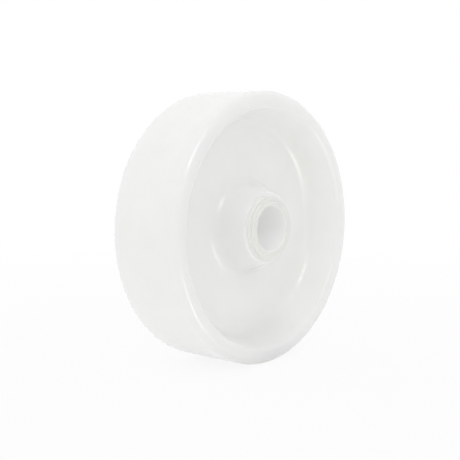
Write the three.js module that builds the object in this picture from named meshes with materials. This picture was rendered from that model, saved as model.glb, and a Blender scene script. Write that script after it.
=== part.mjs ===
// Caster wheel, 50 mm: a moulded nylon wheel that runs on an axle sleeve through two flanged bushes.
// Millimetres, +Z up. The origin is the wheel's centre and the axle lies along Y, with the near side at -Y.

import * as THREE from 'three';

// Driving dimensions of the wheel
const WHEEL_DIAMETER = 50;
const RIM_WIDTH = 15.3;
const RIM_THICKNESS = 3;
const SHOULDER_RADIUS = 1.3;
const RIM_LIP_RADIUS = 0.9;
const DISH_DRAFT = THREE.MathUtils.degToRad(18);
const DISH_FILLET = 2.6;
const WEB_THICKNESS = 2.6;
const HUB_WALL = 1.15;
const HUB_DRAFT = THREE.MathUtils.degToRad(18);
const HUB_FILLET = 2.2;
const HUB_EDGE_RADIUS = 0.5;

// Driving dimensions of the bearing
const AXLE_SCREW_DIAMETER = 8;
const SLEEVE_WALL = 0.7;
const SLEEVE_CHAMFER = 0.25;
const BUSH_WALL = 0.5;
const FLANGE_THICKNESS = 0.4;
const FLANGE_INSET = 0.55;
const FLANGE_EDGE_RADIUS = 0.15;
const GREASE_SPACE = 1.6;
const WASHER_THICKNESS = 0.4;
const WASHER_INSET = 0.4;
const WASHER_EDGE_RADIUS = 0.15;

// Fits and clearances
const AXLE_CLEARANCE = 0.2;
const RUNNING_CLEARANCE = 0.06;
const PRESS_GAP = 0.04;
const SEAT_GAP = 0.05;
const WASHER_FIT = 0.05;
const THRUST_GAP = 0.1;
const FORK_CLEARANCE = 0.35;
const SLEEVE_PROUD = 0.1;

// Facets of the turned shapes
const TURN_STEPS = 48;
const ARC_STEPS = 4;

// Radii of the bearing, from the axle outwards
const sleeveInner = AXLE_SCREW_DIAMETER / 2 + AXLE_CLEARANCE;
const sleeveOuter = sleeveInner + SLEEVE_WALL;
const bushInner = sleeveOuter + RUNNING_CLEARANCE;
const bushOuter = bushInner + BUSH_WALL;
const hubBore = bushOuter + PRESS_GAP;
const hubTip = hubBore + HUB_WALL;
const flangeOuter = hubTip - FLANGE_INSET;
const washerInner = sleeveOuter + WASHER_FIT;
const washerOuter = flangeOuter - WASHER_INSET;

// Places along the axle, from the fork leg inwards, measured from the wheel's middle plane
const sleeveEnd = RIM_WIDTH / 2 + FORK_CLEARANCE;
const washerFace = sleeveEnd - SLEEVE_PROUD;
const washerBack = washerFace - WASHER_THICKNESS;
const flangeFace = washerBack - THRUST_GAP;
const flangeBack = flangeFace - FLANGE_THICKNESS;
const hubEnd = flangeBack - SEAT_GAP;
const barrelEnd = GREASE_SPACE / 2;

/** A corner of a turned profile: its distance from the axle, its place along it and its rounding radius. */
function corner(radius, along, rounding = 0) {
  return { point: new THREE.Vector2(radius, along), rounding };
}

/** Points of the arc that rounds one corner, tangent to the two edges that meet there. */
function roundedCorner({ point, rounding }, before, after) {
  if (rounding === 0) {
    return [point];
  }
  const toBefore = before.clone().sub(point).normalize();
  const toAfter = after.clone().sub(point).normalize();
  const halfAngle = Math.acos(toBefore.dot(toAfter)) / 2;
  const reach = rounding / Math.tan(halfAngle);
  const inward = toBefore.clone().add(toAfter).normalize();
  const centre = point.clone().addScaledVector(inward, rounding / Math.sin(halfAngle));
  const startAngle = point.clone().addScaledVector(toBefore, reach).sub(centre).angle();
  const endAngle = point.clone().addScaledVector(toAfter, reach).sub(centre).angle();
  const turnsClockwise = toBefore.cross(toAfter) > 0;
  return new THREE.ArcCurve(centre.x, centre.y, rounding, startAngle, endAngle, turnsClockwise).getPoints(ARC_STEPS);
}

/** A ring turned about the axle from a closed profile, whose corners run anticlockwise. */
function turnedRing(corners) {
  const outline = corners.flatMap((item, i) => {
    const before = corners.at(i - 1).point;
    const after = corners[(i + 1) % corners.length].point;
    return roundedCorner(item, before, after);
  });
  return new THREE.LatheGeometry([...outline, outline[0]], TURN_STEPS);
}

/** The moulded wheel: tread, rounded rim, dished web and tapered hub, alike on both sides. */
function wheelGeometry() {
  const treadRadius = WHEEL_DIAMETER / 2;
  const rimFace = RIM_WIDTH / 2;
  const webFace = WEB_THICKNESS / 2;
  const rimInner = treadRadius - RIM_THICKNESS;
  const dishFoot = rimInner - (rimFace - webFace) * Math.tan(DISH_DRAFT);
  const hubFoot = hubTip + (hubEnd - webFace) * Math.tan(HUB_DRAFT);
  const farSide = [
    corner(treadRadius, rimFace, SHOULDER_RADIUS),
    corner(rimInner, rimFace, RIM_LIP_RADIUS),
    corner(dishFoot, webFace, DISH_FILLET),
    corner(hubFoot, webFace, HUB_FILLET),
    corner(hubTip, hubEnd, HUB_EDGE_RADIUS),
    corner(hubBore, hubEnd),
  ];
  const nearSide = farSide.map(({ point, rounding }) => corner(point.x, -point.y, rounding)).reverse();
  return turnedRing([...farSide, ...nearSide]);
}

/** A plain bearing bush: a barrel inside the hub and a flange against the hub's end, on the +Y side. */
function bushGeometry() {
  return turnedRing([
    corner(bushInner, barrelEnd),
    corner(bushOuter, barrelEnd),
    corner(bushOuter, flangeBack),
    corner(flangeOuter, flangeBack),
    corner(flangeOuter, flangeFace, FLANGE_EDGE_RADIUS),
    corner(bushInner, flangeFace),
  ]);
}

/** A thrust washer, pushed on the sleeve in front of the flange, on the +Y side. */
function washerGeometry() {
  return turnedRing([
    corner(washerInner, washerBack),
    corner(washerOuter, washerBack, WASHER_EDGE_RADIUS),
    corner(washerOuter, washerFace, WASHER_EDGE_RADIUS),
    corner(washerInner, washerFace),
  ]);
}

/** The sleeve that the fork clamps and the wheel turns on, with a chamfer at each mouth of its bore. */
function sleeveGeometry() {
  const bevel = sleeveEnd - SLEEVE_CHAMFER;
  return turnedRing([
    corner(sleeveInner, -bevel),
    corner(sleeveInner + SLEEVE_CHAMFER, -sleeveEnd),
    corner(sleeveOuter, -sleeveEnd),
    corner(sleeveOuter, sleeveEnd),
    corner(sleeveInner + SLEEVE_CHAMFER, sleeveEnd),
    corner(sleeveInner, bevel),
  ]);
}

/** A named piece with its own plastic. */
function piece(name, geometry, color, roughness) {
  const material = new THREE.MeshStandardMaterial({ color, roughness, metalness: 0 });
  const mesh = new THREE.Mesh(geometry, material);
  mesh.name = name;
  return mesh;
}

const NATURAL_NYLON = 0xe6e6e1;
const WHITE_ACETAL = 0xecece8;
const NYLON_ROUGHNESS = 0.3;
const ACETAL_ROUGHNESS = 0.35;

const casterWheel = new THREE.Group();
casterWheel.add(piece('wheel', wheelGeometry(), NATURAL_NYLON, NYLON_ROUGHNESS));
casterWheel.add(piece('axle_sleeve', sleeveGeometry(), WHITE_ACETAL, ACETAL_ROUGHNESS));

// The near side is the far side turned half round about X
for (const [side, turn] of [['far', 0], ['near', Math.PI]]) {
  const hardware = new THREE.Group();
  hardware.add(piece(`${side}_bush`, bushGeometry(), WHITE_ACETAL, ACETAL_ROUGHNESS));
  hardware.add(piece(`${side}_washer`, washerGeometry(), NATURAL_NYLON, NYLON_ROUGHNESS));
  hardware.rotation.x = turn;
  casterWheel.add(hardware);
}

export default casterWheel;
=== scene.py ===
"""Looks of a 50 mm caster wheel in milky natural nylon, standing on a white light table.

Each CAD node is replaced by a finer surface turned about the axle. The axle lies along Y, with the near side
at -Y. Shapes are worked out in millimetres and become metres where a mesh is made.
"""

import math

import bpy
import numpy as np
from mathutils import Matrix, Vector


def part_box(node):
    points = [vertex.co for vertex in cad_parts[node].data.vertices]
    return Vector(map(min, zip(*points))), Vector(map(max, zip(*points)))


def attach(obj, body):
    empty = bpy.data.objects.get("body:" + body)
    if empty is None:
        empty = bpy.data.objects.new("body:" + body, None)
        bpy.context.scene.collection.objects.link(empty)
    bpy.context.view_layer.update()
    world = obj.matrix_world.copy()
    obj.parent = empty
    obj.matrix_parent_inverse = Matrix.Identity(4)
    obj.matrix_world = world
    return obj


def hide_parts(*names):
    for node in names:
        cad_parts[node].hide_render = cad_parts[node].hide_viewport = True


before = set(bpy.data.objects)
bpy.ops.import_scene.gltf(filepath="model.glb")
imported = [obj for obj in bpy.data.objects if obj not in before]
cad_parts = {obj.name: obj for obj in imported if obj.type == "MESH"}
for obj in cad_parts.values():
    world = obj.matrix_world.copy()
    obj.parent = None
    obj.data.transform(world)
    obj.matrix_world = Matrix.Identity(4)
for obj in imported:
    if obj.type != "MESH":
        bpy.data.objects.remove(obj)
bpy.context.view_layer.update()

MM = 0.001

# Corners of the CAD nodes, in millimetres
BOXES = {node: np.array(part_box(node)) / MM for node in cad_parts}
SIDES = ("near", "far")

# Walls and fits of the bearing, from the axle outwards
SLEEVE_WALL = 0.7
RUNNING_CLEARANCE = 0.06
BUSH_WALL = 0.5
PRESS_GAP = 0.04
HUB_WALL = 1.15
WASHER_FIT = 0.05
SLEEVE_RADIUS = BOXES["axle_sleeve"][1][0]
SLEEVE_BORE = SLEEVE_RADIUS - SLEEVE_WALL
BUSH_BORE = SLEEVE_RADIUS + RUNNING_CLEARANCE
BUSH_BARREL = BUSH_BORE + BUSH_WALL
HUB_BORE = BUSH_BARREL + PRESS_GAP
HUB_TIP = HUB_BORE + HUB_WALL
WASHER_BORE = SLEEVE_RADIUS + WASHER_FIT

# Lengths and edges of the bearing
SLEEVE_CHAMFER = 0.25
BARREL_END = 0.8
FLANGE_THICKNESS = 0.4
FLANGE_EDGE_RADIUS = 0.15
SEAT_GAP = 0.05
WASHER_THICKNESS = 0.4
WASHER_EDGE_RADIUS = 0.15
FINE_EDGE_RADIUS = 0.08

# The wheel's moulded form
WHEEL_RADIUS = BOXES["wheel"][1][0]
RIM_FACE = BOXES["wheel"][1][1]
RIM_THICKNESS = 3
SHOULDER_RADIUS = 1.3
RIM_LIP_RADIUS = 0.9
DISH_DRAFT = math.radians(18)
DISH_FILLET = 2.6
WEB_FACE = 1.3
HUB_END = BOXES["far_bush"][1][1] - FLANGE_THICKNESS - SEAT_GAP
HUB_DRAFT = math.radians(18)
HUB_FILLET = 2.2
HUB_EDGE_RADIUS = 0.5
BORE_EDGE_RADIUS = 0.1

# Marks of the mould: the seam round the tread, and ejector pins and gate on the far side's web
SEAM_HEIGHT = 0.012
SEAM_WIDTH = 0.12
PIN_RADIUS = 2
PIN_DEPTH = 0.1
PIN_EDGE = 0.25
PIN_CIRCLE = 13.7
PIN_ANGLES = np.radians([40, 130, 220, 310])
GATE_RADIUS = 1.1
GATE_HEIGHT = 0.15
GATE_ANGLE = math.radians(85)

# Fineness of the turned surfaces
WHEEL_TURNS = 300
BEARING_TURNS = 160
ARC_STEP = math.radians(7.5)
STRAIGHT_STEP = 0.4

# The photograph's viewpoint: turn round the wheel, height, distance, and the wheel's centre in the frame
IMAGE_SIZE = 460
VIEW_AZIMUTH = math.radians(-49.6)
VIEW_ELEVATION = math.radians(5.44)
VIEW_DISTANCE = 166.7
FOCAL_PIXELS = 886
CENTRE_PIXEL = (239.14, 226.05)
SENSOR_WIDTH = 36


# Turned shapes


def rounded_outline(corners):
    """A closed outline through corners (radius, along, rounding). Each rounding is an arc tangent to the two
    edges at its corner: its centre lies on their bisector at rounding / sin(half angle)."""
    places = np.array([corner[:2] for corner in corners], dtype=float)
    runs = []
    for place, before, after, corner in zip(places, np.roll(places, 1, 0), np.roll(places, -1, 0), corners):
        rounding = corner[2]
        if rounding == 0:
            runs.append(place[None])
            continue
        to_before = (before - place) / np.linalg.norm(before - place)
        to_after = (after - place) / np.linalg.norm(after - place)
        half_angle = math.acos(to_before @ to_after) / 2
        bisector = (to_before + to_after) / np.linalg.norm(to_before + to_after)
        centre = place + bisector * rounding / math.sin(half_angle)
        start = place + to_before * rounding / math.tan(half_angle) - centre
        end = place + to_after * rounding / math.tan(half_angle) - centre
        sweep = math.pi - 2 * half_angle
        share = np.linspace(0, 1, max(3, math.ceil(sweep / ARC_STEP)) + 1)[:, None]
        spoke = (np.sin((1 - share) * sweep) * start + np.sin(share * sweep) * end) / math.sin(sweep)
        runs.append(centre + spoke)
    return split_straights(np.concatenate(runs))


def split_straights(outline):
    """The same closed outline, with each straight run cut into equal steps no longer than STRAIGHT_STEP."""
    ends = np.roll(outline, -1, 0)
    counts = np.ceil(np.linalg.norm(ends - outline, axis=1) / STRAIGHT_STEP).astype(int).clip(1)
    starts = np.repeat(np.arange(len(outline)), counts)
    first = np.repeat(np.cumsum(counts) - counts, counts)
    share = ((np.arange(counts.sum()) - first) / np.repeat(counts, counts))[:, None]
    return outline[starts] * (1 - share) + ends[starts] * share


def turned_points(outline, turns):
    """A grid of points: (radius, along) of the outline, carried round the axle by the angle t to
    (radius cos t, along, radius sin t)."""
    angle = np.linspace(0, 2 * np.pi, turns, endpoint=False)
    radius = outline[:, :1]
    along = np.repeat(outline[:, 1:], turns, axis=1)
    return np.stack([radius * np.cos(angle), along, radius * np.sin(angle)], axis=-1)


def ring_mesh(name, points):
    """A smooth closed ring of quads over a grid of points that joins up in both directions. The outline runs
    anticlockwise, so that the faces look outwards."""
    rows, turns = points.shape[:2]
    here = np.arange(rows * turns).reshape(rows, turns)
    next_row = np.roll(here, -1, 0)
    quads = np.stack([here, next_row, np.roll(next_row, -1, 1), np.roll(here, -1, 1)], axis=-1)
    mesh = bpy.data.meshes.new(name)
    mesh.from_pydata(points.reshape(-1, 3) * MM, [], quads.reshape(-1, 4))
    mesh.polygons.foreach_set("use_smooth", np.ones(rows * turns, dtype=bool))
    mesh.update()
    piece = bpy.data.objects.new(name, mesh)
    bpy.context.scene.collection.objects.link(piece)
    return piece


def soft_step(value):
    """0 below 0, 1 above 1, and a smooth S between."""
    share = np.clip(value, 0, 1)
    return share * share * (3 - 2 * share)


def disc(points, radius, angle, size):
    """1 inside a disc on the web at that radius and angle, falling to 0 over PIN_EDGE outside its size."""
    reach = np.hypot(points[..., 0] - radius * math.cos(angle), points[..., 2] - radius * math.sin(angle))
    return soft_step(1 - (reach - size) / PIN_EDGE)


def wheel_piece():
    """The moulding: half of its outline, mirrored to the near side and turned. The tread's middle stands up
    by SEAM_HEIGHT exp(-(along / SEAM_WIDTH)^2), and the far web is pressed in or raised by discs."""
    rim_inner = WHEEL_RADIUS - RIM_THICKNESS
    dish_foot = rim_inner - (RIM_FACE - WEB_FACE) * math.tan(DISH_DRAFT)
    hub_foot = HUB_TIP + (HUB_END - WEB_FACE) * math.tan(HUB_DRAFT)
    far_half = [
        (WHEEL_RADIUS, 3 * SEAM_WIDTH, 0),
        (WHEEL_RADIUS, RIM_FACE, SHOULDER_RADIUS),
        (rim_inner, RIM_FACE, RIM_LIP_RADIUS),
        (dish_foot, WEB_FACE, DISH_FILLET),
        (hub_foot, WEB_FACE, HUB_FILLET),
        (HUB_TIP, HUB_END, HUB_EDGE_RADIUS),
        (HUB_BORE, HUB_END, BORE_EDGE_RADIUS),
    ]
    near_half = [(radius, -along, rounding) for radius, along, rounding in reversed(far_half)]
    seam = [(WHEEL_RADIUS, share * SEAM_WIDTH, 0) for share in np.linspace(-2.5, 2.5, 11)]
    points = turned_points(rounded_outline(far_half + near_half + seam), WHEEL_TURNS)
    along = points[..., 1]
    radius = np.hypot(points[..., 0], points[..., 2])
    on_tread = radius > rim_inner
    ridge = 1 + SEAM_HEIGHT / radius * np.exp(-((along / SEAM_WIDTH) ** 2)) * on_tread
    points[..., 0] *= ridge
    points[..., 2] *= ridge
    on_web = (along > 0) & ~on_tread & (radius > HUB_TIP)
    pressed = sum(disc(points, PIN_CIRCLE, angle, PIN_RADIUS) for angle in PIN_ANGLES)
    raised = disc(points, PIN_CIRCLE, GATE_ANGLE, GATE_RADIUS)
    points[..., 1] += on_web * (GATE_HEIGHT * raised - PIN_DEPTH * pressed)
    return ring_mesh("nylon_wheel", points)


def bush_piece(side):
    """A flanged bush: its barrel in the hub and its flange on the hub's end, turned from the far side's
    outline and carried half round about X for the near side."""
    flange_face = BOXES["far_bush"][1][1]
    flange_back = flange_face - FLANGE_THICKNESS
    flange_radius = BOXES["far_bush"][1][0]
    outline = rounded_outline([
        (BUSH_BORE, BARREL_END, FINE_EDGE_RADIUS),
        (BUSH_BARREL, BARREL_END, FINE_EDGE_RADIUS),
        (BUSH_BARREL, flange_back, 0),
        (flange_radius, flange_back, FINE_EDGE_RADIUS),
        (flange_radius, flange_face, FLANGE_EDGE_RADIUS),
        (BUSH_BORE, flange_face, FINE_EDGE_RADIUS),
    ])
    return ring_mesh(f"{side}_flanged_bush", to_side(turned_points(outline, BEARING_TURNS), side))


def washer_piece(side):
    """A thrust washer: a flat ring with rolled-over edges."""
    face = BOXES["far_washer"][1][1]
    back = face - WASHER_THICKNESS
    radius = BOXES["far_washer"][1][0]
    outline = rounded_outline([
        (WASHER_BORE, back, FINE_EDGE_RADIUS),
        (radius, back, WASHER_EDGE_RADIUS),
        (radius, face, WASHER_EDGE_RADIUS),
        (WASHER_BORE, face, FINE_EDGE_RADIUS),
    ])
    return ring_mesh(f"{side}_thrust_washer", to_side(turned_points(outline, BEARING_TURNS), side))


def sleeve_piece():
    """The axle sleeve: a tube with a chamfer at each mouth of its bore and a fine edge outside."""
    end = BOXES["axle_sleeve"][1][1]
    far_half = [
        (SLEEVE_RADIUS, end, FINE_EDGE_RADIUS),
        (SLEEVE_BORE + SLEEVE_CHAMFER, end, FINE_EDGE_RADIUS),
        (SLEEVE_BORE, end - SLEEVE_CHAMFER, FINE_EDGE_RADIUS),
    ]
    near_half = [(radius, -along, rounding) for radius, along, rounding in reversed(far_half)]
    return ring_mesh("turned_sleeve", turned_points(rounded_outline(far_half + near_half), BEARING_TURNS))


def to_side(points, side):
    """Far points as they are; for the near side turned half round about X, to (x, -y, -z)."""
    return points if side == "far" else points * (1, -1, -1)


# Materials

# Sizes of the patterns and the reach of the light in the plastics, in millimetres
NYLON_CLOUD = 9
NYLON_WAVE = 6
NYLON_GRAIN = 0.7
NYLON_DEPTH = 8
PLASTIC_CLOUD = 4
# Depth of the painted shade at the sleeve's ends
END_SHADE_DEPTH = 0.3


def linear(hex_colour):
    """An sRGB hex value as linear RGBA."""
    srgb = np.array([int(hex_colour[i:i + 2], 16) for i in (1, 3, 5)]) / 255
    rgb = np.where(srgb <= 0.04045, srgb / 12.92, ((srgb + 0.055) / 1.055) ** 2.4)
    return (*rgb, 1)


def add_node(tree, kind, settings, links=None):
    """A node with its settings, given by socket or property name, and its inputs linked to other sockets."""
    node = tree.nodes.new(kind)
    for name, value in settings.items():
        if name in node.inputs:
            node.inputs[name].default_value = value
        else:
            setattr(node, name, value)
    for name, socket in (links or {}).items():
        tree.links.new(socket, node.inputs[name])
    return node


def new_material(name):
    """An empty node material, its tree and its output node."""
    material = bpy.data.materials.new(name)
    material.use_nodes = True
    material.node_tree.nodes.clear()
    output = material.node_tree.nodes.new("ShaderNodeOutputMaterial")
    return material, material.node_tree, output


def set_ramp(ramp, stops):
    """Puts two (position, hex colour) stops into a colour ramp."""
    for element, (position, colour) in zip(ramp.color_ramp.elements, stops):
        element.position = position
        element.color = linear(colour)


def noise(tree, place, size_mm, detail, roughness):
    """A noise pattern over the object, with features of about that size. Gives the socket of its value."""
    pattern = add_node(tree, "ShaderNodeTexNoise",
                       {"Scale": 1 / (size_mm * MM), "Detail": detail, "Roughness": roughness},
                       {"Vector": place.outputs["Object"]})
    return pattern.outputs["Fac"]


def natural_nylon():
    """Natural nylon 6, injection moulded: light goes some millimetres in and comes back out, so edges and
    shadows are soft and milky. The gloss is weak and the mould's polish a little uneven, which breaks up the
    highlights."""
    material, tree, output = new_material("natural nylon, moulded")
    place = add_node(tree, "ShaderNodeTexCoord", {})
    cloud = noise(tree, place, NYLON_CLOUD, 2, 0.5)
    tint = add_node(tree, "ShaderNodeValToRGB", {}, {"Fac": cloud})
    set_ramp(tint, [(0.3, "#EFEFED"), (0.7, "#F3F3F1")])
    grain = noise(tree, place, NYLON_GRAIN, 3, 0.6)
    polish = add_node(tree, "ShaderNodeMapRange", {"To Min": 0.2, "To Max": 0.3}, {"Value": grain})
    wave = noise(tree, place, NYLON_WAVE, 1, 0.4)
    sag = add_node(tree, "ShaderNodeBump", {"Strength": 0.3, "Distance": 0.1 * MM}, {"Height": wave})
    peel = add_node(tree, "ShaderNodeBump", {"Strength": 0.15, "Distance": 0.02 * MM},
                    {"Height": grain, "Normal": sag.outputs["Normal"]})
    shader = add_node(tree, "ShaderNodeBsdfPrincipled",
                      {"IOR": 1.53, "Specular IOR Level": 0.1,
                       "Coat Weight": 0.25, "Coat Roughness": 0.18, "Coat IOR": 1.55,
                       "Subsurface Weight": 1, "Subsurface Radius": (1, 1, 0.97),
                       "Subsurface Scale": NYLON_DEPTH * MM},
                      {"Base Color": tint.outputs["Color"], "Roughness": polish.outputs["Result"],
                       "Normal": peel.outputs["Normal"]})
    tree.links.new(shader.outputs["BSDF"], output.inputs["Surface"])
    return material


def painted_end_shade(tree, place, end):
    """Painted shade at a tube's ends: 0 at the ends of a tube that ends at that place along the axle, and 1
    from END_SHADE_DEPTH inwards.
    """
    axes = add_node(tree, "ShaderNodeSeparateXYZ", {}, {"Vector": place.outputs["Object"]})
    reach = add_node(tree, "ShaderNodeMath", {"operation": "ABSOLUTE"})
    tree.links.new(axes.outputs["Y"], reach.inputs[0])
    shade = add_node(tree, "ShaderNodeMapRange",
                     {"From Min": (end - END_SHADE_DEPTH) * MM, "From Max": (end - END_SHADE_DEPTH / 4) * MM,
                      "To Min": 1, "To Max": 0},
                     {"Value": reach.outputs[0]})
    return shade.outputs["Result"]


def plain_plastic(name, pale, deep, roughness, depth_mm, grain_mm, shaded_end=None):
    """A white bearing plastic: close to opaque, with a soft waxy gloss and fine tool or mould grain. It has
    faint clouds, or as a tube shaded_end long to each side ends painted a shade deeper: painted shade at the
    bore's mouths."""
    material, tree, output = new_material(name)
    place = add_node(tree, "ShaderNodeTexCoord", {})
    # Painted shade at a tube's ends, or faint clouds in the tone
    shade = painted_end_shade(tree, place, shaded_end) if shaded_end else noise(tree, place, PLASTIC_CLOUD, 2, 0.5)
    tint = add_node(tree, "ShaderNodeValToRGB", {}, {"Fac": shade})
    set_ramp(tint, [(0.3, deep), (0.7, pale)])
    grain = noise(tree, place, grain_mm, 3, 0.6)
    polish = add_node(tree, "ShaderNodeMapRange", {"To Min": roughness - 0.05, "To Max": roughness + 0.05},
                      {"Value": grain})
    relief = add_node(tree, "ShaderNodeBump", {"Strength": 0.2, "Distance": 0.02 * MM}, {"Height": grain})
    shader = add_node(tree, "ShaderNodeBsdfPrincipled",
                      {"IOR": 1.48, "Specular IOR Level": 0.35, "Subsurface Weight": 1,
                       "Subsurface Radius": (1, 1, 0.9), "Subsurface Scale": depth_mm * MM},
                      {"Base Color": tint.outputs["Color"], "Roughness": polish.outputs["Result"],
                       "Normal": relief.outputs["Normal"]})
    tree.links.new(shader.outputs["BSDF"], output.inputs["Surface"])
    return material


# Pieces on their bodies


def dress(piece, node, body, material):
    """Gives a piece its material and puts it in the place of its CAD node."""
    piece.data.materials.append(material)
    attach(piece, body)
    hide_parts(node)
    if node != "wheel":
        # The bearing's pale plastic lets light through, so it doesn't block what reaches the hub and the bore
        piece.visible_diffuse = False
        piece.visible_shadow = False


dress(wheel_piece(), "wheel", "wheel_set", natural_nylon())
# Painted shade and painted light: the bush and washer tones are set deeper for the shade at the hub's end,
# and the sleeve's paler for light in its bore
acetal = plain_plastic("white acetal, moulded", "#E9E9E4", "#E3E3DD", 0.3, 1.5, 0.5)
washer_nylon = plain_plastic("natural nylon sheet, punched", "#E9E9E4", "#E3E3DD", 0.4, 1.5, 0.3)
# The sleeve's deep tone is painted shade at its ends, round the mouths of the bore
turned_acetal = plain_plastic("white acetal tube, turned", "#FCFCF9", "#E5E5E0", 0.32, 1.2, 0.3,
                              shaded_end=BOXES["axle_sleeve"][1][1])
for side in SIDES:
    dress(bush_piece(side), f"{side}_bush", "wheel_set", acetal)
    dress(washer_piece(side), f"{side}_washer", "axle_set", washer_nylon)
dress(sleeve_piece(), "axle_sleeve", "axle_set", turned_acetal)

# Light table, lamps and camera

WORLD_LIGHT = 0.71

# The table in metres: its size, and the ring over which its white share grows to 1 and the shadow fades out
TABLE_SIZE = 1.6
SHADOW_NEAR = 0.03
SHADOW_FAR = 0.2
WHITE_SHARE = 0.85

# Distance and size of the fill lamps, in metres
FILL_DISTANCE = 0.5
FILL_SIZE = 0.3


def seen_directly(tree):
    """1 for rays that show the background to the eye, straight or in gloss and clear matter, and 0 for rays
    that light the object."""
    path = add_node(tree, "ShaderNodeLightPath", {})
    either = add_node(tree, "ShaderNodeMath", {"operation": "MAXIMUM"})
    tree.links.new(path.outputs["Is Camera Ray"], either.inputs[0])
    tree.links.new(path.outputs["Is Glossy Ray"], either.inputs[1])
    any_of = add_node(tree, "ShaderNodeMath", {"operation": "MAXIMUM"})
    tree.links.new(either.outputs[0], any_of.inputs[0])
    tree.links.new(path.outputs["Is Transmission Ray"], any_of.inputs[1])
    return any_of.outputs[0]


def white_room():
    """The world: white where it is seen, and an even light on the object."""
    world = bpy.data.worlds.new("white room")
    world.use_nodes = True
    tree = world.node_tree
    tree.nodes.clear()
    light = add_node(tree, "ShaderNodeBackground", {"Color": linear("#FFFFFF"), "Strength": WORLD_LIGHT})
    white = add_node(tree, "ShaderNodeBackground", {"Color": linear("#FFFFFF"), "Strength": 1})
    mix = add_node(tree, "ShaderNodeMixShader", {}, {"Fac": seen_directly(tree)})
    tree.links.new(light.outputs[0], mix.inputs[1])
    tree.links.new(white.outputs[0], mix.inputs[2])
    add_node(tree, "ShaderNodeOutputWorld", {}, {"Surface": mix.outputs[0]})
    bpy.context.scene.world = world


def light_table():
    """A white table under the wheel, matt enough near it to keep a faint shadow. It lets light from below
    through and doesn't show in the gloss."""
    half = TABLE_SIZE / 2
    level = BOXES["wheel"][0][2] * MM
    corners = [(-half, -half, level), (half, -half, level), (half, half, level), (-half, half, level)]
    mesh = bpy.data.meshes.new("light table")
    mesh.from_pydata(corners, [], [(0, 1, 2, 3)])
    table = bpy.data.objects.new("light table", mesh)
    bpy.context.scene.collection.objects.link(table)
    material, tree, output = new_material("white table top")
    matt = add_node(tree, "ShaderNodeBsdfDiffuse", {"Color": linear("#F4F4F4")})
    glow = add_node(tree, "ShaderNodeEmission", {"Color": linear("#FFFFFF"), "Strength": 1})
    place = add_node(tree, "ShaderNodeTexCoord", {})
    reach = add_node(tree, "ShaderNodeVectorMath", {"operation": "LENGTH"})
    tree.links.new(place.outputs["Object"], reach.inputs[0])
    fade = add_node(tree, "ShaderNodeMapRange",
                    {"From Min": SHADOW_NEAR, "From Max": SHADOW_FAR, "To Min": WHITE_SHARE, "To Max": 1},
                    {"Value": reach.outputs["Value"]})
    share = add_node(tree, "ShaderNodeMath", {"operation": "MULTIPLY"})
    tree.links.new(seen_directly(tree), share.inputs[0])
    tree.links.new(fade.outputs["Result"], share.inputs[1])
    mix = add_node(tree, "ShaderNodeMixShader", {}, {"Fac": share.outputs[0]})
    tree.links.new(matt.outputs[0], mix.inputs[1])
    tree.links.new(glow.outputs[0], mix.inputs[2])
    tree.links.new(mix.outputs[0], output.inputs["Surface"])
    mesh.materials.append(material)
    table.visible_shadow = False
    table.visible_glossy = False


def soft_lamp(name, towards, distance, size, power):
    """A round soft lamp in that direction from the wheel, facing it and out of the camera's sight."""
    lamp = bpy.data.lights.new(name, "AREA")
    lamp.shape = "DISK"
    lamp.size = size
    lamp.energy = power
    away = Vector(towards).normalized()
    holder = bpy.data.objects.new(name, lamp)
    holder.location = away * distance
    holder.rotation_euler = (-away).to_track_quat("-Z", "Y").to_euler()
    holder.visible_camera = False
    bpy.context.scene.collection.objects.link(holder)
    return holder


def glint_lamp(name, towards, distance, size, power):
    """A lamp that shows in the gloss alone."""
    soft_lamp(name, towards, distance, size, power).visible_diffuse = False


def fill_lamp(name, towards, power, casts_shadow):
    """A large lamp that doesn't show in the gloss."""
    holder = soft_lamp(name, towards, FILL_DISTANCE, FILL_SIZE, power)
    holder.visible_glossy = False
    holder.data.use_shadow = casts_shadow


def photo_camera():
    """A camera that looks at the wheel's centre from the photograph's side, with the frame shifted to put the
    centre on its pixel."""
    data = bpy.data.cameras.new("camera")
    data.sensor_width = SENSOR_WIDTH
    data.lens = FOCAL_PIXELS / IMAGE_SIZE * SENSOR_WIDTH
    data.shift_x = 0.5 - CENTRE_PIXEL[0] / IMAGE_SIZE
    data.shift_y = CENTRE_PIXEL[1] / IMAGE_SIZE - 0.5
    data.clip_start = 5 * MM
    camera = bpy.data.objects.new("camera", data)
    back = Vector((math.sin(VIEW_AZIMUTH) * math.cos(VIEW_ELEVATION),
                   -math.cos(VIEW_AZIMUTH) * math.cos(VIEW_ELEVATION), math.sin(VIEW_ELEVATION)))
    camera.location = back * VIEW_DISTANCE * MM
    camera.rotation_euler = (-back).to_track_quat("-Z", "Y").to_euler()
    bpy.context.scene.collection.objects.link(camera)
    bpy.context.scene.camera = camera


white_room()
light_table()
glint_lamp("glint from above", (-0.359, -0.688, 0.631), 0.082, 0.034, 0.026)
glint_lamp("glint from below", (0.264, -0.868, -0.421), 0.136, 0.052, 0.052)
fill_lamp("fill from the left", (-1, 0.1, 0.25), 0.12, casts_shadow=True)
fill_lamp("fill from the right", (1, -0.1, 0.3), 0.25, casts_shadow=True)
fill_lamp("fill from behind", (0.2, 1, 0.4), 0.2, casts_shadow=True)
fill_lamp("soft fill from the left", (-1, 0.1, 0.25), 0.08, casts_shadow=False)
fill_lamp("soft fill from above", (0, 0, 1), 0.3, casts_shadow=False)
fill_lamp("soft fill from the upper left", (-0.6, -0.5, 0.8), 0.2, casts_shadow=False)
fill_lamp("soft fill from the lower left", (-0.8, -0.3, -0.5), 0.14, casts_shadow=False)
photo_camera()
bpy.context.scene.view_settings.view_transform = "Standard"
